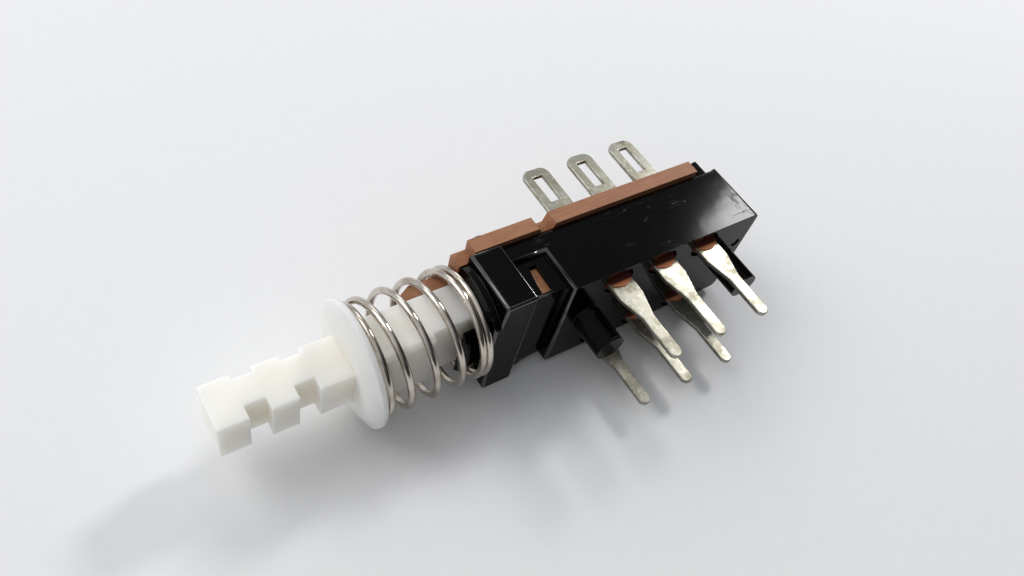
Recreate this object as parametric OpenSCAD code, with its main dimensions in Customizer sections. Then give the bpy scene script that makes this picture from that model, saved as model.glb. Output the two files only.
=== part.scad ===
// Two-pole changeover push switch with a sprung plunger, six through
// terminals (PCB pins on one side, slotted solder lugs on the other), a
// moulded housing and two phenolic boards.
//
// The switch lies on one side of its housing. X runs along the plunger, with
// the button end toward -X, the pins point to -Y, the lugs to +Y, and Z is up.
// Sub-parts are drawn in the plunger's own frame, with x = 0 on the housing's
// front face and y = z = 0 on the plunger's axis. seat() then moves them so
// that the origin is in the middle of the object's box, on the resting side.

/* [Terminals] */
// Distance between neighbouring terminals of one pole
pitch = 4.0; // [3.9:0.05:4.1]
// Distance between the two rows of terminals
row_gap = 6.2; // [6.1:0.05:6.3]
// Distance from the front face to the first terminal
first_x = 9.2; // [9.0:0.1:9.4]
// Thickness of the terminal sheet
sheet_t = 0.35; // [0.25:0.05:0.45]
// Width of a PCB pin along its narrow end
blade_w = 0.9; // [0.7:0.05:1.1]
// Width of a PCB pin where it leaves the body
root_w = 1.9; // [1.6:0.05:2.0]
// Length of a PCB pin outside the mounting face
pin_len = 6.64; // [5.2:0.02:7.2]
// Width of a solder lug
lug_w = 2.2; // [2.0:0.05:2.4]
// Length of a solder lug outside the lug board
lug_len = 4.9; // [4.2:0.05:5.5]
// Width of the eye in a solder lug
eye_w = 0.85; // [0.6:0.05:1.1]
// Length of the eye in a solder lug
eye_len = 2.45; // [1.8:0.05:2.6]

/* [Housing] */
// Length of the housing behind the lug board
ledge_len = 2.3; // [2.1:0.05:3.0]
// Width of the housing's head and of the lug board, which is the height of
// the whole switch as it lies
body_w = 9.7; // [9.5:0.1:10.2]
// Distance from a row of terminals to the side of the housing
row_edge = 1.3; // [1.25:0.05:1.45]
// Distance from the plunger's axis to the mounting face
mount_y = 3.36; // [3.3:0.02:3.7]
// Distance from the plunger's axis to the underside of the lug board
shelf_y = 1.56; // [1.5:0.02:1.7]
// Thickness of the side walls
wall = 0.8; // [0.7:0.05:0.9]
// Diameter of the locating peg under the front half
front_peg_d = 2.2; // [1.8:0.1:2.3]
// Diameter of the locating peg at the rear
rear_peg_d = 2.2; // [2.0:0.1:2.4]
// Length of both locating pegs outside the mounting face
peg_len = 2.95; // [2.0:0.05:3.2]
// Distance from the front face to the front peg
front_peg_x = 7.45; // [7.2:0.05:7.6]
// Distance from the rear peg to the rear face
rear_peg_in = 1.8; // [1.5:0.05:1.9]

/* [Boards] */
// Thickness of the lug board
lug_board_t = 1.1; // [0.9:0.05:1.2]
// Distance from the last terminal to the end of the lug board
board_end = 2.65; // [2.4:0.05:2.8]
// Thickness of the pin board
pin_board_t = 0.8; // [0.7:0.05:0.9]
// Thickness of the keeper plate that holds the plunger in
keeper_t = 0.8; // [0.7:0.05:0.9]

/* [Plunger] */
// Side of the square shank that a button cap snaps on
shank_w = 3.2; // [3.0:0.05:3.4]
// Width of the stem and slider, measured from pole to pole
stem_w = 4.9; // [4.6:0.05:5.0]
// Diameter of the flange that the spring pushes on
flange_d = 8.64; // [8.6:0.02:9.2]
// Thickness of the flange
flange_t = 0.65; // [0.5:0.05:0.8]
// Distance from the housing's front face to the flange
flange_gap = 8.62; // [8.6:0.01:9.2]
// Length of the shank in front of the flange
shank_len = 8.38; // [8.2:0.02:9.0]
// Travel of the plunger from rest to its stop
travel = 4.0; // [3.5:0.1:4.0]

/* [Return spring] */
// Wire diameter of the return spring
wire_d = 0.5; // [0.4:0.05:0.55]
// Mean diameter of the return spring
coil_d = 7.44; // [7.4:0.02:7.5]

/* [Contacts] */
// Diameter of the silver contact on each end of a bridge
contact_d = 1.1; // [0.8:0.1:1.3]
// Wire diameter of the contact springs
contact_wire_d = 0.22; // [0.18:0.01:0.26]

/* [Hidden] */

fine = 48;                                // segments of a full turn
eps = 0.02;                               // overrun of a cut past a face

// Rows and columns of terminals
row_z = row_gap / 2;
function column_x(n) = first_x + (n - 1) * pitch;

// Lengths and widths of the housing and the lug board
lug_board_len = column_x(3) + board_end;
body_len = lug_board_len + ledge_len;
rear_w = row_gap + 2 * row_edge;          // width behind the head
rear_peg_x = body_len - rear_peg_in;

// Heights along Y, from the mounting face to the lugs
head_y = mount_y - 0.2;                   // the head stands back a little
channel_y = mount_y - 0.7;                // the channel behind it, more
floor_t = 0.45;                           // housing under the pin board
pin_board_y = -mount_y + floor_t;         // outer face of the pin board
floor_y = pin_board_y + pin_board_t;      // inner face of the pin board
lug_board_y = shelf_y + lug_board_t;      // outer face of the lug board

// Lengths of the head and of the channel between it and the rear block
head_len = 2.35;
rear_x = 5.1;
rear_r = 0.5;                             // rounding of the rear corners
channel_z = rear_w / 2 - 0.4;
channel_top = 0.15;

// Cavity of the housing
cavity_z = rear_w / 2 - wall;
keeper_x = head_len + 0.95;               // front of the keeper slot
keeper_z = channel_z - 0.35;              // ends of the keeper plate
keeper_y0 = -channel_y + 0.15;
keeper_y1 = -0.42;
cavity_x0 = keeper_x + keeper_t;
cavity_x1 = lug_board_len - 0.25;         // solid from here to the rear
pin_board_x0 = column_x(1) - 2.9;

// Plunger
run = 0.1;                                // running clearance
stem_y0 = -1.95;                          // stem's face toward the pins
stem_y1 = shelf_y - 0.08;                 // stem's face toward the lug board
stem_r = 2.95;                            // rounding of the stem's edges
recess_y = -1.4;                          // stem above the keeper plate
recess_x0 = -3.95;
slider_y0 = floor_y + run;
slider_x0 = cavity_x0 + 0.02;             // shoulder behind the keeper
slider_x1 = cavity_x1 - travel - 0.05;
stem_len = flange_gap + slider_x0 + 0.2;
flange_x0 = -flange_gap - flange_t;
shank_x0 = flange_x0 - shank_len;
lip_h = 0.28;
lip_t = 0.24;
bridge_x = first_x + pitch / 2;           // middle of a bridge at rest

// Contact bridges
bridge_t = 0.25;
bridge_h = 2.2;
bridge_len = pitch + contact_d + 0.5;
blade_face_z = row_z - sheet_t / 2;       // inner face of a terminal
contact_h = 0.25;
bridge_z1 = blade_face_z - 0.025 - contact_h;
bridge_z0 = bridge_z1 - bridge_t;
pocket_z = 1.9;                           // floor of a bridge's pocket
spring_hole_d = 1.6;
spring_hole_z = 0.5;                      // floor of a contact spring's hole

// Neck and tongue inside the return spring
neck_len = 2.15;
neck_r = 3.05;
neck_y = -2.05;
tongue_x = -4.15;
tongue_w = 4.2;
tab_x = -0.65;                            // front of the board's narrower step
tab_w = 7.8;
tab_len = 1.5;
spring_seat_h = 0.48;                     // raised seat under the last coil
spring_seat_d = coil_d + wire_d + 0.3;

// Terminal: widths and lengths along its outline
shoulder_len = 1.4;                       // wide root of the pin
taper_len = 1.9;                          // from the root to the narrow end
held_w = 2.6;                             // blade between the two boards
lug_corner = 0.7;
eye_edge = 0.75;

// Fastening of the lug board, and its notch
stake_x = 1.5;
stake_z = 3.7;
stake_d = 0.9;
stake_head_d = 1.5;
post_x = lug_board_len + 0.95;
notch_w = 1.38;
post_d = 0.8;
notch_x = 5.44;

// Pin board: a boss in a window around each pin, and a bead about its root
window_d = 2 * (row_edge - 0.1);
boss_d = window_d - run;
boss_y = -mount_y + 0.3;                  // end of a boss, inside its window
boss_in = 0.15;                           // its overlap with the board
bead = 0.08;                              // thickness of a bead
bead_r = 1.18;                            // round of its end
bead_y = -mount_y - 0.59;

// Box of the whole object, which places the origin
box_x0 = shank_x0;
box_x1 = body_len;
box_y0 = -mount_y - pin_len;
box_y1 = lug_board_y + lug_len;

phenolic = [0.55, 0.35, 0.24];
nylon = [0.92, 0.92, 0.88];
black_plastic = [0.06, 0.06, 0.06];
tinned = [0.72, 0.70, 0.62];
nickel = [0.78, 0.76, 0.72];
bronze = [0.78, 0.55, 0.33];

// Moves a sub-part from the plunger's frame to the object's own frame.
module seat()
    translate([-(box_x0 + box_x1) / 2, -(box_y0 + box_y1) / 2, body_w / 2])
        children();

// A box given by its two opposite corners.
module slab(from, to) translate(from) cube(to - from);

// A sheet in the X-Z plane, from y to y + t, whose outline is drawn with
// x to the right and z up.
module flat_board(y, t)
    translate([0, y + t, 0]) rotate([90, 0, 0]) linear_extrude(t) children();

// A round bar along +Y.
module bar_y(d, y0, y1)
    translate([0, y0, 0]) rotate([-90, 0, 0]) cylinder(d = d, h = y1 - y0, $fn = fine);

// One child on each side of the plunger's axis, mirrored pole to pole.
module both_poles() {
    children();
    mirror([0, 0, 1]) children();
}

// Trapezoid notch in a long edge of the lug board, narrowing inward from z.
module edge_notch(depth, z)
    polygon([
        [notch_x, z + eps], [notch_x + notch_w, z + eps],
        [notch_x + notch_w - 0.24, z - depth], [notch_x + notch_w - 0.82, z - depth]
    ]);

// A wire wound along +X, as rings of points joined into one tube. The list
// coil holds, for each ring, its turn number and its place along X.
module wound_wire(coil, mean_r, wire_r, sides) {
    rings = len(coil);
    points = [
        for (ring = coil, k = [0:sides - 1])
            let (turn = 90 + 360 * ring[0], side = 360 * k / sides,
                 r = mean_r + wire_r * cos(side))
            [ring[1] + wire_r * sin(side), r * cos(turn), r * sin(turn)]
    ];
    walls = [
        for (i = [0:rings - 2], k = [0:sides - 1])
            let (next = (k + 1) % sides)
            [i * sides + k, i * sides + next, (i + 1) * sides + next, (i + 1) * sides + k]
    ];
    caps = [
        [for (k = [sides - 1:-1:0]) k],
        [for (k = [0:sides - 1]) (rings - 1) * sides + k]
    ];
    polyhedron(points, concat(walls, caps), convexity = 10);
}

// Part of the housing from x0 to x1 that is w wide and reaches from y0 up to
// the lug board.
module block(x0, x1, y0, w) slab([x0, y0, -w / 2], [x1, shelf_y, w / 2]);

// Block behind the channel, with two rounded rear corners.
module rear_block() {
    side = rear_w / 2;
    flat_board(-mount_y, mount_y + shelf_y) {
        translate([rear_x, -side]) square([body_len - rear_r - rear_x, rear_w]);
        translate([body_len - 2 * rear_r, rear_r - side])
            square([2 * rear_r, rear_w - 2 * rear_r]);
        for (end = [-1, 1])
            translate([body_len - rear_r, end * (side - rear_r)])
                circle(r = rear_r, $fn = fine);
    }
}

// Half-round neck that carries the spring on the mounting side.
module neck()
    intersection() {
        translate([-neck_len, 0, 0]) rotate([0, 90, 0])
            cylinder(r = neck_r, h = neck_len + 0.5, $fn = fine);
        slab([-neck_len, -neck_r - 1, -neck_r], [0.5, neck_y, neck_r]);
    }

// Raised seat on the front face, on which the return spring stands.
module spring_seat()
    intersection() {
        translate([-spring_seat_h, 0, 0]) rotate([0, 90, 0])
            cylinder(d = spring_seat_d, h = spring_seat_h + 0.5, $fn = 2 * fine);
        slab([-spring_seat_h, -head_y, -body_w / 2], [0.5, shelf_y, body_w / 2]);
    }

// Locating peg under the mounting face.
module peg(x, d) translate([x, 0, 0]) bar_y(d, -mount_y - peg_len, -mount_y + 0.2);

// Round post that stakes the lug board, with its flattened head.
module stake() {
    translate([stake_x, 0, stake_z]) {
        bar_y(stake_d, shelf_y - 0.3, lug_board_y);
        bar_y(stake_head_d, lug_board_y, lug_board_y + 0.3);
    }
}

module housing()
    color(black_plastic) seat()
        difference() {
            union() {
                block(0, head_len, -head_y, body_w);
                block(head_len - eps, rear_x + eps, -channel_y, 2 * channel_z);
                block(head_len - eps, rear_x + eps, channel_top, rear_w);
                rear_block();
                neck();
                spring_seat();
                peg(front_peg_x, front_peg_d);
                peg(rear_peg_x, rear_peg_d);
                both_poles() stake();
                // posts behind the end of the lug board
                both_poles() translate([post_x, 0, rear_w / 2 - post_d / 2 - 0.1])
                    bar_y(post_d, shelf_y - 0.2, lug_board_y + 0.14);
            }
            // cavity for the slider and the terminals
            slab([cavity_x0 - eps, floor_y, -cavity_z], [cavity_x1, shelf_y + eps, cavity_z]);
            // bed of the pin board
            slab([pin_board_x0, pin_board_y, -cavity_z], [cavity_x1, floor_y + eps, cavity_z]);
            // opening for the stem, closed by the lug board
            slab([-spring_seat_h - eps, neck_y, -stem_w / 2 - run],
                 [cavity_x0, shelf_y + eps, stem_w / 2 + run]);
            // slot for the keeper plate, open in the floors of the channel
            slab([keeper_x, keeper_y0, -channel_z - eps],
                 [cavity_x0, keeper_y1 + run, channel_z + eps]);
            // round windows for the bosses of the pin board
            for (side = [-1, 1], n = [1:3])
                translate([column_x(n), 0, side * row_z])
                    bar_y(window_d, -mount_y - eps, pin_board_y + boss_in + 0.05);
            // shallow mark of the mould's ejector pin
            translate([body_len - 0.8, 0, 1.35]) bar_y(0.8, -mount_y - eps, -mount_y + 0.12);
        }

// Outline of the lug board in X-Z: a wide plate, a narrower step at its
// front, and a tongue that reaches into the return spring.
module lug_board_outline() {
    side = body_w / 2;
    half_tongue = tongue_w / 2;
    difference() {
        union() {
            translate([0.45, -side]) square([lug_board_len - 0.45, body_w]);
            translate([tab_x, -tab_w / 2]) square([tab_len, tab_w]);
            polygon([
                [tongue_x, -1.1], [tongue_x + 0.6, -half_tongue], [0, -half_tongue],
                [0, half_tongue], [tongue_x + 0.6, half_tongue], [tongue_x, 1.1]
            ]);
        }
        for (flip = [0, 1]) mirror([0, flip]) {
            edge_notch(0.9, side);
            translate([stake_x, stake_z]) circle(d = stake_d, $fn = fine);
            for (n = [1:3])
                translate([column_x(n) - lug_w / 2, row_z - sheet_t / 2]) square([lug_w, sheet_t]);
        }
    }
}

module lug_board()
    color(phenolic) seat() flat_board(shelf_y, lug_board_t) lug_board_outline();

// A bar about the root of pin n, as thick as the sheet and r on each side.
module about_pin(n, side, r, y0, y1)
    slab([column_x(n) - root_w / 2 - r, y0, side * row_z - sheet_t / 2 - r],
         [column_x(n) + root_w / 2 + r, y1, side * row_z + sheet_t / 2 + r]);

// Bead of resin on the root of pin n, with a round end.
module resin_bead(n, side)
    intersection() {
        translate([column_x(n), bead_y + bead_r, side * row_z - sheet_t / 2 - bead])
            cylinder(r = bead_r, h = sheet_t + 2 * bead, $fn = 2 * fine);
        about_pin(n, side, bead, bead_y, floor_y - 0.1);
    }

// Pin board with a round boss around each pin, which lies in a window of the
// housing, and a bead of resin on the root of each pin.
module pin_board()
    color(phenolic) seat()
        difference() {
            union() {
                slab([pin_board_x0, pin_board_y, -cavity_z], [cavity_x1, floor_y, cavity_z]);
                for (side = [-1, 1], n = [1:3]) {
                    translate([column_x(n), 0, side * row_z])
                        bar_y(boss_d, boss_y, pin_board_y + boss_in);
                    resin_bead(n, side);
                }
            }
            for (side = [-1, 1], n = [1:3])
                about_pin(n, side, 0, bead_y - eps, floor_y + eps);
        }

// U-shaped plate across the housing. Its cross bar stops the slider.
module keeper_plate()
    color(phenolic) seat()
        difference() {
            slab([keeper_x, keeper_y0, -keeper_z], [cavity_x0, keeper_y1, keeper_z]);
            slab([keeper_x - eps, recess_y - run, -stem_w / 2 - run],
                 [cavity_x0 + eps, keeper_y1 + eps, stem_w / 2 + run]);
        }

// Outline of one terminal, drawn about its own middle line. From the bottom:
// a pin with a round end that widens to its root, a blade held between the
// two boards, and a lug with rounded corners and an eye.
module terminal_outline() {
    tip_y = -mount_y - pin_len;
    shoulder = -mount_y - shoulder_len;
    neck_end = shoulder - taper_len;
    lug_top = lug_board_y + lug_len;
    corner = lug_corner;
    eye_top = lug_top - eye_edge;
    difference() {
        union() {
            translate([0, tip_y + blade_w / 2]) circle(d = blade_w, $fn = fine);
            polygon([
                [-blade_w / 2, tip_y + blade_w / 2], [blade_w / 2, tip_y + blade_w / 2],
                [blade_w / 2, neck_end], [root_w / 2, shoulder],
                [root_w / 2, floor_y + 0.1], [-root_w / 2, floor_y + 0.1],
                [-root_w / 2, shoulder], [-blade_w / 2, neck_end]
            ]);
            translate([-held_w / 2, floor_y]) square([held_w, shelf_y - floor_y]);
            translate([-lug_w / 2, shelf_y - 0.1]) square([lug_w, lug_top - corner - shelf_y + 0.1]);
            translate([corner - lug_w / 2, lug_top - 2 * corner])
                square([lug_w - 2 * corner, 2 * corner]);
            for (side = [-1, 1])
                translate([side * (lug_w / 2 - corner), lug_top - corner])
                    circle(r = corner, $fn = fine);
        }
        translate([-eye_w / 2, eye_top - eye_len]) square([eye_w, eye_len]);
    }
}

// Terminal n (1 to 3) of the pole on the given side of the axis.
module terminal(n, side)
    color(tinned) seat()
        translate([column_x(n), 0, side * row_z - sheet_t / 2])
            linear_extrude(sheet_t) terminal_outline();

// Flange with a coned front and a low lip behind, which centres the spring.
module flange()
    translate([-flange_gap, 0, 0]) rotate([90, 0, 90])
        rotate_extrude($fn = 2 * fine)
            polygon([
                [0, -flange_t], [flange_d / 2 - 1.2, -flange_t], [flange_d / 2, -0.1],
                [flange_d / 2, lip_h], [flange_d / 2 - lip_t, lip_h],
                [flange_d / 2 - lip_t, 0], [0, 0]
            ]);

// Square shank with two cap grooves, which are deeper toward the pins.
module shank() {
    half = shank_w / 2;
    groove = 1.3;
    tip_len = 1.9;
    difference() {
        slab([shank_x0, -half, -half], [flange_x0 + 0.1, half, half]);
        for (x = [shank_x0 + tip_len, shank_x0 + 2 * tip_len + groove - 0.2]) {
            slab([x, -half - eps, -half - eps], [x + groove, -half + 0.9, half + eps]);
            slab([x, half - 0.36, -half - eps], [x + groove, half + eps, half + eps]);
        }
    }
}

module plunger()
    color(nylon) seat()
        difference() {
            union() {
                shank();
                flange();
                // stem through the return spring, with round long edges
                intersection() {
                    slab([-flange_gap - 0.1, stem_y0, -stem_w / 2],
                         [slider_x0 + 0.1, stem_y1, stem_w / 2]);
                    translate([-flange_gap - 0.1, 0, 0]) rotate([0, 90, 0])
                        cylinder(r = stem_r, h = stem_len, $fn = 2 * fine);
                }
                slab([slider_x0, slider_y0, -stem_w / 2], [slider_x1, stem_y1, stem_w / 2]);
            }
            // recess that slides over the keeper's cross bar
            slab([recess_x0, slider_y0 - 1, -stem_w / 2 - 1], [slider_x0, recess_y, stem_w / 2 + 1]);
            both_poles() {
                slab([bridge_x - bridge_len / 2 - 0.1, -bridge_h / 2 - 0.1, pocket_z],
                     [bridge_x + bridge_len / 2 + 0.1, bridge_h / 2 + 0.1, stem_w]);
                translate([bridge_x, 0, spring_hole_z])
                    cylinder(d = spring_hole_d, h = pocket_z - spring_hole_z + eps, $fn = fine);
            }
        }

// Return spring with closed end coils: turn number and place along X. The
// first and the last coils lie wire on wire, and those between are open.
spring_turns = 6.15;
spring_first_turn = 0.25;
closed_front = 1.3;
closed_rear = 1.4;
spring_len = flange_gap - spring_seat_h - wire_d;
open_pitch = (spring_len - (closed_front + closed_rear) * wire_d)
    / (spring_turns - closed_front - closed_rear);
function spring_x(t) =
    -flange_gap + wire_d / 2
    + min(t, closed_front) * wire_d
    + max(0, min(t, spring_turns - closed_rear) - closed_front) * open_pitch
    + max(0, t - (spring_turns - closed_rear)) * wire_d;

module return_spring()
    color(nickel) seat()
        wound_wire(
            [for (t = [0:spring_turns / 210:spring_turns + 0.001]) [spring_first_turn + t, spring_x(t)]],
            coil_d / 2, wire_d / 2 - 0.005, 8);

// Flat bridge with a contact at each end, on the side of pole a.
module bridge() {
    slab([bridge_x - bridge_len / 2, -bridge_h / 2, bridge_z0],
         [bridge_x + bridge_len / 2, bridge_h / 2, bridge_z1]);
    for (side = [-1, 1])
        translate([bridge_x + side * pitch / 2, 0, bridge_z1 - 0.05])
            cylinder(d1 = contact_d, d2 = contact_d - 0.3, h = contact_h + 0.05, $fn = fine);
}

module contact_bridge(side)
    color(bronze) seat() mirror([0, 0, side < 0 ? 1 : 0]) bridge();

// Small spring that presses a bridge outward against its terminals.
contact_turns = 4.5;
module contact_spring(side) {
    rest_len = bridge_z0 - spring_hole_z;
    color(nickel) seat() mirror([0, 0, side < 0 ? 1 : 0])
        translate([bridge_x, 0, spring_hole_z]) rotate([0, -90, 0])
            wound_wire(
                [for (t = [0:1 / 14:contact_turns + 0.001])
                    [t, contact_wire_d / 2 + (rest_len - contact_wire_d) * t / contact_turns]],
                0.6, contact_wire_d / 2, 6);
}

housing();
lug_board();
pin_board();
keeper_plate();
plunger();
return_spring();
terminal(1, 1);  // terminal_a1
terminal(2, 1);  // terminal_a2
terminal(3, 1);  // terminal_a3
terminal(1, -1);  // terminal_b1
terminal(2, -1);  // terminal_b2
terminal(3, -1);  // terminal_b3
contact_bridge(1);  // contact_bridge_a
contact_bridge(-1);  // contact_bridge_b
contact_spring(1);  // contact_spring_a
contact_spring(-1);  // contact_spring_b
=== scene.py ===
# %% [markdown]
# # A two-pole push switch
#
# This lesson dresses a small changeover switch of the kind that sits behind
# the front panel of a radio or an amplifier. The solid model is loaded first
# and stays as it is. Each following cell adds one finish or one piece, in
# metres, in the solid model's own frame: X runs along the plunger toward the
# rear of the housing, the flat pins point to -Y and Z is up.

# %% Loading the solid model
import math

import bmesh
import bpy
import numpy as np
from mathutils import Matrix, Vector


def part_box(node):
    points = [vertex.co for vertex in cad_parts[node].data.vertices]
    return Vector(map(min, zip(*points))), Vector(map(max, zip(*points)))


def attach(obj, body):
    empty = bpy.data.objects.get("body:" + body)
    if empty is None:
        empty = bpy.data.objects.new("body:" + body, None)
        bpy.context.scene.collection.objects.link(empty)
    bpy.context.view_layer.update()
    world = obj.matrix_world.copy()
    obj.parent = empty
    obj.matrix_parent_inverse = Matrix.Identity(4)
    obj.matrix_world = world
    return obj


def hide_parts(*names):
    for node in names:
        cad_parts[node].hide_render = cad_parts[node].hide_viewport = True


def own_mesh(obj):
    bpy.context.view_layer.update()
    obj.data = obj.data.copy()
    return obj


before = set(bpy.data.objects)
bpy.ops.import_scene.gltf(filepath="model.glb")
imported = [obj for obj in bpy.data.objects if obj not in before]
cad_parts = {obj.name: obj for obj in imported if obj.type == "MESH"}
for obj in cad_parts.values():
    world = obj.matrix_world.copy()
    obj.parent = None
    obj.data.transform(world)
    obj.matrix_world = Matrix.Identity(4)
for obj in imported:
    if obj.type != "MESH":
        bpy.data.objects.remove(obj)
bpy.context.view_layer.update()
MM = 0.001

# %% [markdown]
# ## The camera
#
# A close view from above the pins, with the button nearest. The three rows
# are the camera's right, up and back directions. A camera looks along its own
# -Z, so these rows, laid as columns, are its rotation.

# %% Placing the camera
camera_axes = np.array([
    [0.82593, -0.52746, 0.19909],
    [0.32889, 0.73759, 0.58974],
    [-0.45791, -0.42160, 0.78267],
])
camera_place = np.array([-24.8817, -22.3958, 50.2421]) * MM

camera_data = bpy.data.cameras.new("camera")
camera_data.sensor_width = 36
camera_data.lens = 29.361
camera_data.clip_start = 0.002
camera_data.clip_end = 5
camera = bpy.data.objects.new("camera", camera_data)
pose = np.eye(4)
pose[:3, :3] = camera_axes.T
pose[:3, 3] = camera_place
camera.matrix_world = Matrix(pose.tolist())
bpy.context.scene.collection.objects.link(camera)
bpy.context.scene.camera = camera
print("camera height, mm:", round(camera_place[2] / MM, 1))

# %% [markdown]
# ## Short words for shader nodes
#
# A material is a small graph. It could be drawn by hand in the shader editor,
# but a script makes it the same way each time. Written out in full, each node
# takes many lines, so these helpers add a node, set its plain values and link
# the rest.

# %% Helpers for shader graphs
def feed(tree, socket, value):
    """Links another node's socket to this input, or writes a plain value."""
    if isinstance(value, bpy.types.NodeSocket):
        tree.links.new(value, socket)
    else:
        socket.default_value = value


def add(tree, kind, settings=None, **inputs):
    """Adds one shader node and feeds its inputs. Underscores in their names
    stand for spaces."""
    node = tree.nodes.new("ShaderNode" + kind)
    for key, value in (settings or {}).items():
        setattr(node, key, value)
    for key, value in inputs.items():
        feed(tree, node.inputs[key.replace("_", " ")], value)
    return node


def math_node(tree, operation, a, b=0.0):
    """One arithmetic step on two numbers or sockets."""
    node = add(tree, "Math", {"operation": operation})
    feed(tree, node.inputs[0], a)
    feed(tree, node.inputs[1], b)
    return node.outputs[0]


def ramp(tree, value, low, high, to_low=0.0, to_high=1.0):
    """Moves a value from the span low..high onto to_low..to_high, smoothly
    and held at both ends."""
    node = add(tree, "MapRange", {"interpolation_type": "SMOOTHSTEP"}, Value=value,
               From_Min=low, From_Max=high, To_Min=to_low, To_Max=to_high)
    return node.outputs["Result"]


def blend_colour(tree, share, first, second):
    """First colour where share is 0, second where it is 1."""
    node = add(tree, "Mix", {"data_type": "RGBA"})
    for socket, value in ((0, share), (6, first), (7, second)):
        feed(tree, node.inputs[socket], value)
    return node.outputs[2]


def new_group(name, inputs, outputs):
    """An empty node group with float or vector inputs and outputs, and its
    two end nodes."""
    tree = bpy.data.node_groups.new(name, "ShaderNodeTree")
    for label, kind, value in inputs:
        socket = tree.interface.new_socket(label, in_out="INPUT", socket_type="NodeSocket" + kind)
        if value is not None:
            socket.default_value = value
    for label, kind in outputs:
        tree.interface.new_socket(label, in_out="OUTPUT", socket_type="NodeSocket" + kind)
    return tree, tree.nodes.new("NodeGroupInput"), tree.nodes.new("NodeGroupOutput")


def place_group(tree, group, **inputs):
    """Places a node group in a material."""
    node = tree.nodes.new("ShaderNodeGroup")
    node.node_tree = group
    for key, value in inputs.items():
        feed(tree, node.inputs[key.replace("_", " ")], value)
    return node


def new_material(name):
    """A material with an empty graph, its Principled shader and the place of
    each surface point on the object."""
    material = bpy.data.materials.new(name)
    material.use_nodes = True
    tree = material.node_tree
    tree.nodes.clear()
    shader = tree.nodes.new("ShaderNodeBsdfPrincipled")
    output = tree.nodes.new("ShaderNodeOutputMaterial")
    tree.links.new(shader.outputs[0], output.inputs[0])
    where = tree.nodes.new("ShaderNodeTexCoord").outputs["Object"]
    return material, tree, shader, where


# %% [markdown]
# ## Effects that several finishes share
#
# Three small groups do most of the work. `fine_grain` is the tiny unevenness
# of any moulded or rolled surface. `handling` is what fingers and a parts
# tray leave: cloudy smudges and a few straight scratches. `worn_edge` reads
# the mark that the rounding step leaves on each rounded edge. It gives two
# masks, broken up by noise because an edge never wears evenly: one for the
# worn spots and one, more even, for the whole round.

# %% Fine grain
grain_group, gin, gout = new_group(
    "fine_grain",
    [("Where", "Vector", None), ("Scale", "Float", 3000.0), ("Depth", "Float", 0.5)],
    [("Height", "Float")])
fine = add(grain_group, "TexNoise", Vector=gin.outputs["Where"], Scale=gin.outputs["Scale"],
           Detail=3.0, Roughness=0.6)
coarse_scale = math_node(grain_group, "MULTIPLY", gin.outputs["Scale"], 0.17)
coarse = add(grain_group, "TexNoise", Vector=gin.outputs["Where"], Scale=coarse_scale, Detail=2.0)
grain_sum = math_node(grain_group, "ADD",
                      math_node(grain_group, "MULTIPLY", fine.outputs["Fac"], 0.6),
                      math_node(grain_group, "MULTIPLY", coarse.outputs["Fac"], 0.4))
grain_group.links.new(math_node(grain_group, "MULTIPLY", grain_sum, gin.outputs["Depth"]),
                      gout.inputs["Height"])

# %% Handling marks: smudges and straight scratches
handling_group, gin, gout = new_group(
    "handling",
    [("Where", "Vector", None), ("Smudge Scale", "Float", 180.0), ("Scratch Scale", "Float", 260.0),
     ("Scratch Share", "Float", 0.5)],
    [("Smudge", "Float"), ("Scratch", "Float")])
cloud = add(handling_group, "TexNoise", Vector=gin.outputs["Where"],
            Scale=gin.outputs["Smudge Scale"], Detail=6.0, Roughness=0.62, Distortion=0.6)
handling_group.links.new(ramp(handling_group, cloud.outputs["Fac"], 0.46, 0.72),
                         gout.inputs["Smudge"])
lines = []
for turn, offset in ((0.5, 0.0), (-0.9, 3.1)):
    turned = add(handling_group, "Mapping", Vector=gin.outputs["Where"])
    turned.inputs["Rotation"].default_value = (0.2, 0.3, turn)
    turned.inputs["Location"].default_value = (offset * MM, 0, 0)
    turned.inputs["Scale"].default_value = (0.3, 2.4, 2.4)
    streak = add(handling_group, "TexNoise", Vector=turned.outputs[0],
                 Scale=gin.outputs["Scratch Scale"], Detail=2.0)
    lines.append(ramp(handling_group, math_node(handling_group, "ABSOLUTE", math_node(
        handling_group, "SUBTRACT", streak.outputs["Fac"], 0.5)), 0.009, 0.0))
spots = add(handling_group, "TexNoise", Vector=gin.outputs["Where"], Scale=330.0)
where_scratched = ramp(handling_group, spots.outputs["Fac"], 0.55, 0.68)
scratch = math_node(handling_group, "MULTIPLY",
                    math_node(handling_group, "MAXIMUM", lines[0], lines[1]), where_scratched)
handling_group.links.new(
    math_node(handling_group, "MULTIPLY", scratch, gin.outputs["Scratch Share"]),
    gout.inputs["Scratch"])

# %% Worn edges
edge_group, gin, gout = new_group(
    "worn_edge", [("Where", "Vector", None), ("Break Up", "Float", 900.0)],
    [("Mask", "Float"), ("Round", "Float")])
mark = add(edge_group, "Attribute", {"attribute_name": "rounded"})
patchy = add(edge_group, "TexNoise", Vector=gin.outputs["Where"], Scale=gin.outputs["Break Up"],
             Detail=3.0)
edge_group.links.new(
    math_node(edge_group, "MULTIPLY", mark.outputs["Fac"],
              ramp(edge_group, patchy.outputs["Fac"], 0.42, 0.62)), gout.inputs["Mask"])
edge_group.links.new(
    math_node(edge_group, "MULTIPLY", mark.outputs["Fac"],
              ramp(edge_group, patchy.outputs["Fac"], 0.30, 0.50, 0.55, 1.0)),
    gout.inputs["Round"])
print("shared effects:", [g.name for g in bpy.data.node_groups])

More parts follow.
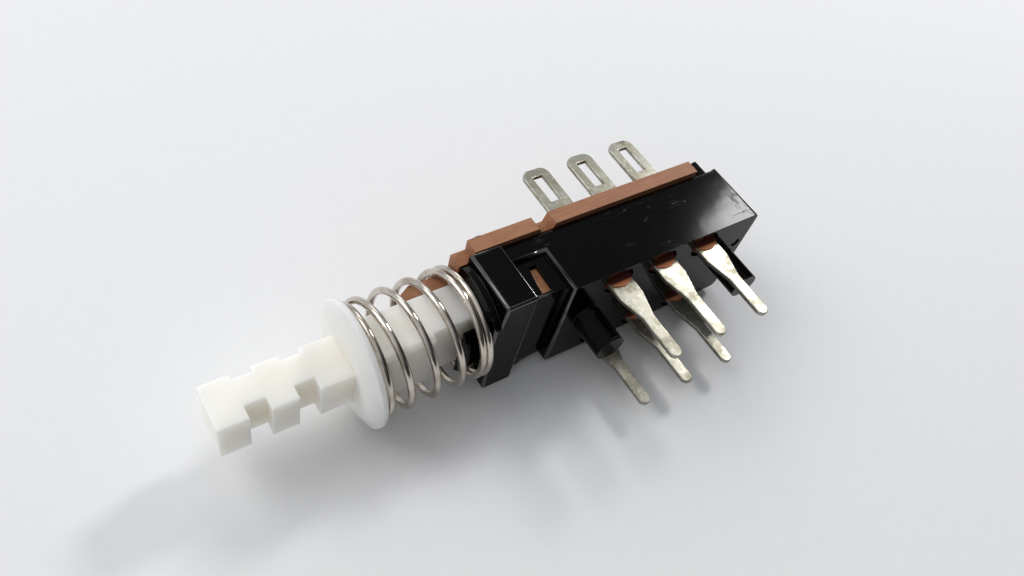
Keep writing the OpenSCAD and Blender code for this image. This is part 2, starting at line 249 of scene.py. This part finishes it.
# %% [markdown]
# ## Finishes
#
# **Black moulded plastic** is almost black underneath, so what shows is its
# gloss: sharp where it is clean, cloudy where it was handled. The colour
# stays close to black and the roughness does the talking.

# %% Black plastic
black_plastic, tree, shader, where = new_material("black_plastic")
grain = place_group(tree, grain_group, Where=where, Scale=2600.0, Depth=0.25)
marks = place_group(tree, handling_group, Where=where, Smudge_Scale=900.0, Scratch_Scale=420.0,
                    Scratch_Share=0.8)
edges = place_group(tree, edge_group, Where=where)
cloudy = add(tree, "TexNoise", Vector=where, Scale=170.0, Detail=3.0)
scuffed = math_node(tree, "MULTIPLY", marks.outputs["Smudge"],
                    ramp(tree, cloudy.outputs["Fac"], 0.48, 0.62))
rough = ramp(tree, scuffed, 0.0, 1.0, 0.10, 0.30)
rough = math_node(tree, "ADD", rough, math_node(tree, "MULTIPLY", marks.outputs["Scratch"], 0.2))
tree.links.new(rough, shader.inputs["Roughness"])
dull = blend_colour(tree, math_node(tree, "MULTIPLY", scuffed, 0.5), (0.0009, 0.0009, 0.001, 1),
                    (0.006, 0.006, 0.0062, 1))
dull = blend_colour(tree, marks.outputs["Scratch"], dull, (0.03, 0.03, 0.031, 1))
dull = blend_colour(tree, math_node(tree, "MULTIPLY", edges.outputs["Mask"], 0.15), dull,
                    (0.02, 0.02, 0.0205, 1))
tree.links.new(dull, shader.inputs["Base Color"])
sunk = add(tree, "TexNoise", Vector=where, Scale=330.0, Detail=2.0)
height = math_node(tree, "ADD", grain.outputs["Height"],
                   math_node(tree, "MULTIPLY", sunk.outputs["Fac"], 2.5))
bump = add(tree, "Bump", Height=height, Strength=0.2, Distance=0.02 * MM)
tree.links.new(bump.outputs[0], shader.inputs["Normal"])
shader.inputs["IOR"].default_value = 1.5
shader.inputs["Specular IOR Level"].default_value = 0.09
# The rounded edges were pressed against polished steel and rubbed since, so
# they are glossier than the faces between them.
tree.links.new(edges.outputs["Round"], shader.inputs["Coat Weight"])
shader.inputs["Coat Roughness"].default_value = 0.14
shader.inputs["Coat IOR"].default_value = 1.8

# %% [markdown]
# **Phenolic board** is paper soaked in resin and pressed. Its faces are a
# warm brown with fine fibres that run along the sheet. Its sheared edges are
# paler and rougher, because there the paper's layers show as thin lines
# across the thickness, which is Y here. Resin gathers round the root of each
# pin, and it is coloured by its place along Y: a band beside the housing's face
# is a dark red painted shade, where the board sits back in a recess, and the
# bead's tip is the resin's orange, painted lighter to stand in for the light it catches.

# %% Phenolic board
# Depths along Y: where the bead's tip turns to its lightened orange, and the two edges of the band
# of painted shade.
resin_tip_painted_light_starts, resin_tip_painted_light_full = -2.30 * MM, -2.44 * MM
painted_shade_outer_edge, painted_shade_inner_edge = (-2.42 * MM, -2.26 * MM), (-1.25 * MM, -1.45 * MM)
phenolic_board, tree, shader, where = new_material("phenolic_board")
along = add(tree, "Mapping", Vector=where)
along.inputs["Scale"].default_value = (0.6, 1.0, 1.0)
fibre = add(tree, "TexNoise", Vector=along.outputs[0], Scale=4200.0, Detail=4.0, Roughness=0.7)
layered = add(tree, "Mapping", Vector=where)
layered.inputs["Scale"].default_value = (0.12, 1.0, 0.12)
layers = add(tree, "TexNoise", Vector=layered.outputs[0], Scale=6500.0, Detail=2.0)
facing = add(tree, "SeparateXYZ", Vector=add(tree, "NewGeometry").outputs["Normal"])
on_edge = ramp(tree, math_node(tree, "ABSOLUTE", facing.outputs["Y"]), 0.85, 0.55)
face_colour = blend_colour(tree, ramp(tree, fibre.outputs["Fac"], 0.3, 0.7),
                           (0.215, 0.088, 0.042, 1), (0.275, 0.122, 0.062, 1))
edge_colour = blend_colour(tree, ramp(tree, layers.outputs["Fac"], 0.34, 0.66),
                           (0.275, 0.112, 0.050, 1), (0.335, 0.148, 0.072, 1))
edge_colour = blend_colour(tree, ramp(tree, fibre.outputs["Fac"], 0.35, 0.65, 0.0, 0.5),
                           edge_colour, (0.34, 0.160, 0.084, 1))
speck = add(tree, "TexNoise", Vector=where, Scale=3000.0, Detail=2.0)
body = blend_colour(tree, on_edge, face_colour, edge_colour)
depth = add(tree, "SeparateXYZ", Vector=where).outputs["Y"]
# The bead's tip is the resin's orange, painted lighter than its own colour to stand in for the
# light it catches: painted light.
body = blend_colour(tree, ramp(tree, depth, resin_tip_painted_light_starts, resin_tip_painted_light_full), body, (0.64, 0.225, 0.10, 1))
# Painted shade: a dark red band between these depths, where the board sits back in a recess beside
# the housing.
painted_shade_band = math_node(tree, "MULTIPLY", ramp(tree, depth, *painted_shade_outer_edge),
                    ramp(tree, depth, *painted_shade_inner_edge))
body = blend_colour(tree, painted_shade_band, body, (0.075, 0.016, 0.010, 1))
body = blend_colour(tree, ramp(tree, speck.outputs["Fac"], 0.66, 0.74, 0.0, 0.5), body,
                    (0.11, 0.048, 0.026, 1))
tree.links.new(body, shader.inputs["Base Color"])
tree.links.new(ramp(tree, fibre.outputs["Fac"], 0.3, 0.7, 0.45, 0.62), shader.inputs["Roughness"])
relief = math_node(tree, "ADD", fibre.outputs["Fac"],
                   math_node(tree, "MULTIPLY", layers.outputs["Fac"], on_edge))
bump = add(tree, "Bump", Height=relief, Strength=0.35, Distance=0.015 * MM)
tree.links.new(bump.outputs[0], shader.inputs["Normal"])
shader.inputs["Specular IOR Level"].default_value = 0.35

# %% [markdown]
# **White nylon** lets light in a little way and scatters it, which softens
# its shadows. A subsurface radius of a millimetre or two does that. Its colour is a warm
# white, with faint flow clouds from the mould.

# %% White nylon
white_nylon, tree, shader, where = new_material("white_nylon")
grain = place_group(tree, grain_group, Where=where, Scale=2200.0, Depth=0.6)
marks = place_group(tree, handling_group, Where=where, Smudge_Scale=150.0, Scratch_Share=0.4)
flow = add(tree, "TexNoise", Vector=where, Scale=190.0, Detail=3.0, Distortion=0.8)
white = blend_colour(tree, ramp(tree, flow.outputs["Fac"], 0.35, 0.7),
                     (0.865, 0.835, 0.77, 1), (0.91, 0.885, 0.825, 1))
white = blend_colour(tree, math_node(tree, "MULTIPLY", marks.outputs["Scratch"], 0.35), white,
                     (0.55, 0.53, 0.47, 1))
tree.links.new(white, shader.inputs["Base Color"])
tree.links.new(ramp(tree, marks.outputs["Smudge"], 0.0, 1.0, 0.38, 0.55),
               shader.inputs["Roughness"])
bump = add(tree, "Bump", Height=grain.outputs["Height"], Strength=0.3, Distance=0.015 * MM)
tree.links.new(bump.outputs[0], shader.inputs["Normal"])
shader.inputs["Subsurface Weight"].default_value = 0.9
shader.inputs["Subsurface Radius"].default_value = (1.0, 0.95, 0.87)
shader.inputs["Subsurface Scale"].default_value = 1.8 * MM
shader.inputs["IOR"].default_value = 1.53

# %% [markdown]
# **Tinned metal** is rolled strip, stamped and dipped in tin. Tin is soft, so
# it is never a mirror: it has fine rolling lines along the terminal, which is
# Y, and duller, slightly yellow patches where flux stayed.

# %% Tinned terminals
tinned_metal, tree, shader, where = new_material("tinned_metal")
rolled = add(tree, "Mapping", Vector=where)
rolled.inputs["Scale"].default_value = (1.0, 0.08, 1.0)
lines_node = add(tree, "TexNoise", Vector=rolled.outputs[0], Scale=7000.0, Detail=3.0)
patches = add(tree, "TexNoise", Vector=where, Scale=620.0, Detail=5.0, Roughness=0.62)
crystals = add(tree, "TexNoise", Vector=where, Scale=3300.0, Detail=3.0, Roughness=0.6)
marks = place_group(tree, handling_group, Where=where, Smudge_Scale=420.0, Scratch_Share=0.8)
edges = place_group(tree, edge_group, Where=where, Break_Up=1400.0)
tin = blend_colour(tree, ramp(tree, patches.outputs["Fac"], 0.4, 0.64),
                   (0.35, 0.337, 0.284, 1), (0.235, 0.219, 0.166, 1))
tin = blend_colour(tree, ramp(tree, crystals.outputs["Fac"], 0.5, 0.7, 0.0, 0.5), tin,
                   (0.54, 0.53, 0.48, 1))
tin = blend_colour(tree, math_node(tree, "MULTIPLY", edges.outputs["Mask"], 0.4), tin,
                   (0.62, 0.61, 0.57, 1))
tree.links.new(tin, shader.inputs["Base Color"])
rough = ramp(tree, patches.outputs["Fac"], 0.38, 0.66, 0.30, 0.44)
rough = math_node(tree, "ADD", rough, math_node(tree, "MULTIPLY", marks.outputs["Smudge"], 0.1))
tree.links.new(rough, shader.inputs["Roughness"])
relief = math_node(tree, "ADD", math_node(tree, "MULTIPLY", lines_node.outputs["Fac"], 0.4),
                   math_node(tree, "ADD", math_node(tree, "MULTIPLY", patches.outputs["Fac"], 0.5),
                             math_node(tree, "MULTIPLY", crystals.outputs["Fac"], 0.5)))
bump = add(tree, "Bump", Height=relief, Strength=0.35, Distance=0.015 * MM)
tree.links.new(bump.outputs[0], shader.inputs["Normal"])
shader.inputs["Metallic"].default_value = 1.0

# %% [markdown]
# **Spring wire** is drawn through a die and plated with nickel, so its fine
# lines run along the wire. The springs carry a UV map for this, with U along
# the wire and V around it. **Bronze** strip carries the contacts inside, and
# its outer ends are silvered, so its colour follows the distance from the
# switch's middle plane.

# %% Spring wire
spring_wire, tree, shader, where = new_material("spring_wire")
drawn = tree.nodes.new("ShaderNodeTexCoord").outputs["UV"]
stretched = add(tree, "Mapping", Vector=drawn)
stretched.inputs["Scale"].default_value = (6.0, 26.0, 1.0)
drawing = add(tree, "TexNoise", Vector=stretched.outputs[0], Scale=2.0, Detail=3.0)
dull = add(tree, "TexNoise", Vector=where, Scale=700.0, Detail=3.0)
metal = blend_colour(tree, ramp(tree, dull.outputs["Fac"], 0.42, 0.7),
                     (0.60, 0.55, 0.49, 1), (0.39, 0.34, 0.29, 1))
tree.links.new(metal, shader.inputs["Base Color"])
tree.links.new(ramp(tree, drawing.outputs["Fac"], 0.3, 0.7, 0.09, 0.18), shader.inputs["Roughness"])
bump = add(tree, "Bump", Height=drawing.outputs["Fac"], Strength=0.15, Distance=0.01 * MM)
tree.links.new(bump.outputs[0], shader.inputs["Normal"])
shader.inputs["Metallic"].default_value = 1.0

# %% Bronze strip with silver contacts
middle_z = 4.85 * MM
contact_starts, contact_full = 2.66 * MM, 2.70 * MM
bronze_strip, tree, shader, where = new_material("bronze_strip")
rolled = add(tree, "Mapping", Vector=where)
rolled.inputs["Scale"].default_value = (0.05, 1.0, 1.0)
lines_node = add(tree, "TexNoise", Vector=rolled.outputs[0], Scale=8000.0, Detail=2.0)
away = math_node(tree, "ABSOLUTE", math_node(
    tree, "SUBTRACT", add(tree, "SeparateXYZ", Vector=where).outputs["Z"], middle_z))
silvered = ramp(tree, away, contact_starts, contact_full)
strip = blend_colour(tree, lines_node.outputs["Fac"], (0.70, 0.44, 0.22, 1), (0.82, 0.56, 0.32, 1))
tree.links.new(blend_colour(tree, silvered, strip, (0.86, 0.85, 0.82, 1)),
               shader.inputs["Base Color"])
tree.links.new(ramp(tree, lines_node.outputs["Fac"], 0.3, 0.7, 0.25, 0.4),
               shader.inputs["Roughness"])
shader.inputs["Metallic"].default_value = 1.0
print("finishes:", [m.name for m in bpy.data.materials])

# %% [markdown]
# ## Rounding the moulded and stamped parts
#
# The solids have perfectly sharp edges. On the real parts each edge is
# slightly round, and that thin round is what catches the light. The shape of
# each solid is right, so the simplest honest way is to copy it, merge its
# loose triangles into whole faces, and round the edges by 0.2 millimetre or
# less. Each face of a rounded edge is marked, so that a finish can wear it.

# %% Making a rounded copy of a node
same_point = 1e-7
flat_within = math.radians(0.8)
room_both_sides, room_outer_edge = 2.1, 1.9


def round_edges(bm, mark, edges, radius, steps, held):
    """Replaces each given edge by an arc of the radius in a few steps, and
    marks the new faces. When held, the radius shrinks where room is short."""
    made = bmesh.ops.bevel(bm, geom=edges, offset=radius, offset_type="OFFSET", segments=steps,
                           profile=0.5, affect="EDGES", clamp_overlap=held)
    for face in made["faces"]:
        face[mark] = 1.0


def has_room(edge, need):
    """Whether every edge beside the two faces of this one is long enough to
    be cut back by the radius."""
    ends = set(edge.verts)
    return all(other.calc_length() > need for face in edge.link_faces for other in face.edges
               if other is not edge and ends & set(other.verts))


def rounded_copy(node, radius, steps=2, sharp_from=28, long_from=0.0, small=0.0, held=True):
    """A copy of a solid with round edges. Triangles that share a plane are
    joined first. Then each edge where two faces meet at more than sharp_from
    degrees is rounded: with the radius where it is long and has room, and
    the others with the small one. When held, it shrinks where room is short."""
    bm = bmesh.new()
    bm.from_mesh(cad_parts[node].data)
    mark = bm.faces.layers.float.new("rounded")
    bmesh.ops.remove_doubles(bm, verts=bm.verts, dist=same_point)
    bmesh.ops.dissolve_limit(bm, angle_limit=flat_within, verts=bm.verts, edges=bm.edges)

    def sharp():
        return [e for e in bm.edges if len(e.link_faces) == 2
                and e.calc_face_angle(0) > math.radians(sharp_from)
                and not any(f[mark] for f in e.link_faces)]
    if small:
        roomy = [e for e in sharp() if e.calc_length() >= long_from
                 and (has_room(e, room_both_sides * radius)
                      or e.is_convex and has_room(e, room_outer_edge * radius))]
        print(node, "long edges:", len(roomy), "of", len(sharp()))
        round_edges(bm, mark, roomy, radius, steps, False)
        round_edges(bm, mark, sharp(), small, 2, True)
    else:
        round_edges(bm, mark, sharp(), radius, steps, held)
    for face in bm.faces:
        face.smooth = True
    mesh = bpy.data.meshes.new(node + "_rounded")
    bm.to_mesh(mesh)
    bm.free()
    piece = bpy.data.objects.new(node + "_rounded", mesh)
    bpy.context.scene.collection.objects.link(piece)
    evened = piece.modifiers.new("even_shading", "WEIGHTED_NORMAL")
    evened.keep_sharp = True
    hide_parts(node)
    return piece


def finish_piece(piece, material, body):
    """Gives a piece its material and its body."""
    piece.data.materials.clear()
    piece.data.materials.append(material)
    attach(piece, body)
    return piece


# %% [markdown]
# ### Housing and plunger
#
# Both are injection mouldings. The black housing has the larger round,
# because its mould was cut with a wider tool. Only its long edges have room
# for that, and the short ones get a much smaller one.

# %% Housing and plunger
rounded_housing = rounded_copy("housing", 0.2 * MM, 4, long_from=1.4 * MM, small=0.04 * MM)
housing = finish_piece(rounded_housing, black_plastic, "case")
rounded_plunger = rounded_copy("plunger", 0.11 * MM, 3)
plunger = finish_piece(rounded_plunger, white_nylon, "button")
print("housing faces:", len(housing.data.polygons), "plunger faces:", len(plunger.data.polygons))

# %% [markdown]
# ### Boards, keeper and terminals
#
# These are stamped from sheet, which leaves only a hint of a round. A Bevel
# modifier could do it, but the copies are made by the same function as the
# mouldings, because it also marks the rounded faces. The tin on the terminals
# fills the round out a little, so theirs is twice as large as the boards'.

# %% Boards, keeper and terminals
for node in ("lug_board", "pin_board", "keeper_plate"):
    finish_piece(rounded_copy(node, 0.035 * MM, 2), phenolic_board, "case")
terminals = [f"terminal_{pole}{n}" for pole in "ab" for n in (1, 2, 3)]
for node in terminals:
    finish_piece(rounded_copy(node, 0.07 * MM, 3, held=False), tinned_metal, "case")
for node in ("contact_bridge_a", "contact_bridge_b"):
    finish_piece(rounded_copy(node, 0.03 * MM, 2), bronze_strip, "button")

# %% [markdown]
# ## The springs
#
# A spring is a circle carried along a helix. In numpy the whole tube is two
# arrays: the path, and a ring around each of its points. The end coils lie
# close together and those between are open, so the place along the axis is a
# piecewise straight function of the turn. A curve with a bevel would look
# alike, but it can't carry this map, and its ends stay open or flat.

# %% Winding a spring
def wind(name, turns, along, mean_radius, wire_radius, centre, axis, side, sides=20, per_turn=72):
    """A wire wound about an axis. For turn t the path's point is
    centre + axis * along(t) + mean_radius * (side * cos 2 pi t + third * sin 2 pi t),
    where third = axis x side. The ring about it lies in the plane of the
    radial and the axis directions. Both ends close on their own centre."""
    axis, side = np.array(axis, float), np.array(side, float)
    third = np.cross(axis, side)
    count = int((turns[1] - turns[0]) * per_turn) + 1
    t = np.linspace(turns[0], turns[1], count)
    radial = np.outer(np.cos(2 * np.pi * t), side) + np.outer(np.sin(2 * np.pi * t), third)
    path = np.array(centre) + np.outer(along(t), axis) + mean_radius * radial
    angle = np.linspace(0, 2 * np.pi, sides, endpoint=False)
    ring = (np.cos(angle)[None, :, None] * radial[:, None, :]
            + np.sin(angle)[None, :, None] * axis[None, None, :])
    points = path[:, None, :] + wire_radius * ring
    points = np.concatenate([points.reshape(-1, 3), path[:1], path[-1:]])
    i, k = np.meshgrid(np.arange(count - 1), np.arange(sides), indexing="ij")
    a, b = i * sides + k, i * sides + (k + 1) % sides
    walls = np.stack([a, b, b + sides, a + sides], -1).reshape(-1, 4)
    ends = np.arange(sides)
    last = (count - 1) * sides
    start_cap = np.stack([(ends + 1) % sides, ends, np.full(sides, count * sides)], -1)
    end_cap = np.stack([last + ends, last + (ends + 1) % sides,
                        np.full(sides, count * sides + 1)], -1)
    mesh = bpy.data.meshes.new(name)
    mesh.from_pydata(points.tolist(), [], walls.tolist() + start_cap.tolist() + end_cap.tolist())
    uv = mesh.uv_layers.new(name="wire")
    corner = np.zeros(len(mesh.loops), int)
    mesh.loops.foreach_get("vertex_index", corner)
    along_wire = np.concatenate([np.repeat(t, sides), t[:1], t[-1:]])
    around = np.concatenate([np.tile(angle / (2 * np.pi), count), [0.5, 0.5]])
    uv.data.foreach_set("uv", np.stack([along_wire[corner], around[corner]], -1).ravel())
    mesh.polygons.foreach_set("use_smooth", np.ones(len(mesh.polygons), bool))
    piece = bpy.data.objects.new(name, mesh)
    bpy.context.scene.collection.objects.link(piece)
    bm = bmesh.new()
    bm.from_mesh(mesh)
    bmesh.ops.recalc_face_normals(bm, faces=bm.faces)
    bm.to_mesh(mesh)
    bm.free()
    return piece


# %% [markdown]
# ### Return spring
#
# It stands on the housing's seat and pushes on the flange. The solid only
# gives its box, and the wire is wound anew inside that box, with finer steps
# and a map along the wire. When the button is pressed the spring shortens
# toward its seat.

# %% Return spring
low, high = (np.array(c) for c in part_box("return_spring"))
wire = 0.5 * MM
coil_radius = 3.72 * MM
seat_x = high[0]
front_x = low[0]
closed_front, closed_rear, first_turn, last_turn = 1.3, 1.4, 0.25, 6.4
turns_between = last_turn - first_turn - closed_front - closed_rear
clear = (seat_x - front_x - wire - (closed_front + closed_rear) * wire) / turns_between
axis_y = (low[1] + high[1]) / 2
axis_z = (low[2] + high[2]) / 2


def return_along(turn):
    """Place along the axis: wire on wire at both ends, open between."""
    t = turn - first_turn
    return (np.minimum(t, closed_front) * wire
            + np.clip(t - closed_front, 0, turns_between) * clear
            + np.maximum(t - closed_front - turns_between, 0) * wire)


return_spring = wind("return_spring_wire", (first_turn, last_turn), return_along,
                     coil_radius, wire / 2, (front_x + wire / 2, axis_y, axis_z),
                     (1, 0, 0), (0, 0, 1))
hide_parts("return_spring")
finish_piece(return_spring, spring_wire, "case")
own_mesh(return_spring)
print("open pitch, mm:", round(clear / MM, 2))

# %% [markdown]
# ### Contact springs
#
# Two tiny springs inside the slider press the bridges outward. They are wound
# by the same function, with fewer sides, since they only show when the switch
# is taken apart.

# %% Contact springs
thin = 0.22 * MM
small_turns, small_radius = 4.5, 0.6 * MM
for node, direction in (("contact_spring_a", 1), ("contact_spring_b", -1)):
    low, high = (np.array(c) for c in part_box(node))
    middle = (low + high) / 2
    length = high[2] - low[2] - thin
    start = low[2] + thin / 2 if direction > 0 else high[2] - thin / 2
    spring = wind(node + "_wire", (0, small_turns), lambda t: length * t / small_turns,
                  small_radius, thin / 2, (middle[0], middle[1], start), (0, 0, direction),
                  (1, 0, 0), sides=10, per_turn=32)
    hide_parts(node)
    finish_piece(spring, spring_wire, "button")

# %% [markdown]
# ## Floor and light
#
# The floor is a sheet of matt paper. One wide soft light stands up and behind
# to the left, so the shadows fall toward the pins and stay soft. A weaker one
# behind lights the lugs, and a small one past the rear end puts a patch of
# gloss on the housing. A sky that is brighter on the first light's side fills
# the rest, so that metal and gloss have something light and something dark to
# mirror.

# %% Floor
half = 0.6  # metres
floor_mesh = bpy.data.meshes.new("floor")
floor_mesh.from_pydata([(-half, -half, 0), (half, -half, 0), (half, half, 0), (-half, half, 0)], [],
                       [(0, 1, 2, 3)])
floor = bpy.data.objects.new("floor", floor_mesh)
bpy.context.scene.collection.objects.link(floor)
paper, tree, shader, where = new_material("paper")
fibres = add(tree, "TexNoise", Vector=where, Scale=900.0, Detail=4.0)
paper_colour = blend_colour(tree, fibres.outputs["Fac"], (0.80, 0.80, 0.803, 1),
                            (0.83, 0.83, 0.832, 1))
tree.links.new(paper_colour, shader.inputs["Base Color"])
shader.inputs["Roughness"].default_value = 0.9
shader.inputs["Specular IOR Level"].default_value = 0.2
floor_mesh.materials.append(paper)

# %% Lights
def soft_light(name, place_mm, aim_mm, size_mm, power):
    """A square lamp at a place, turned so that it faces its aim."""
    data = bpy.data.lights.new(name, "AREA")
    data.shape = "SQUARE"
    data.size = size_mm * MM
    data.energy = power
    lamp = bpy.data.objects.new(name, data)
    lamp.location = Vector(place_mm) * MM
    lamp.rotation_euler = (Vector(aim_mm) - Vector(place_mm)).to_track_quat("-Z", "Y").to_euler()
    bpy.context.scene.collection.objects.link(lamp)
    return lamp


soft_light("window", (-105, 95, 150), (0, 0, 0), 125, 0.152)
soft_light("back_window", (70, 190, 120), (20, 45, 0), 80, 0.05)
soft_light("far_window", (197, 70, 163), (18, 0, 8), 40, 0.22)
print("lamps:", [lamp.name for lamp in bpy.data.lights])

# %% Sky
dim, bright = 0.05, 0.79
world = bpy.data.worlds.new("sky")
world.use_nodes = True
sky = world.node_tree
sky.nodes["Background"].inputs["Color"].default_value = (0.95, 0.97, 1.0, 1)
side = add(sky, "VectorMath", {"operation": "DOT_PRODUCT"})
side.inputs[1].default_value = (-0.60, 0.55, 0.58)  # toward the first light
sky.links.new(add(sky, "TexCoord").outputs["Generated"], side.inputs[0])
sky.links.new(ramp(sky, side.outputs["Value"], -0.35, 0.9, dim, bright),
              sky.nodes["Background"].inputs["Strength"])
bpy.context.scene.world = world
bpy.context.scene.view_settings.view_transform = "Standard"
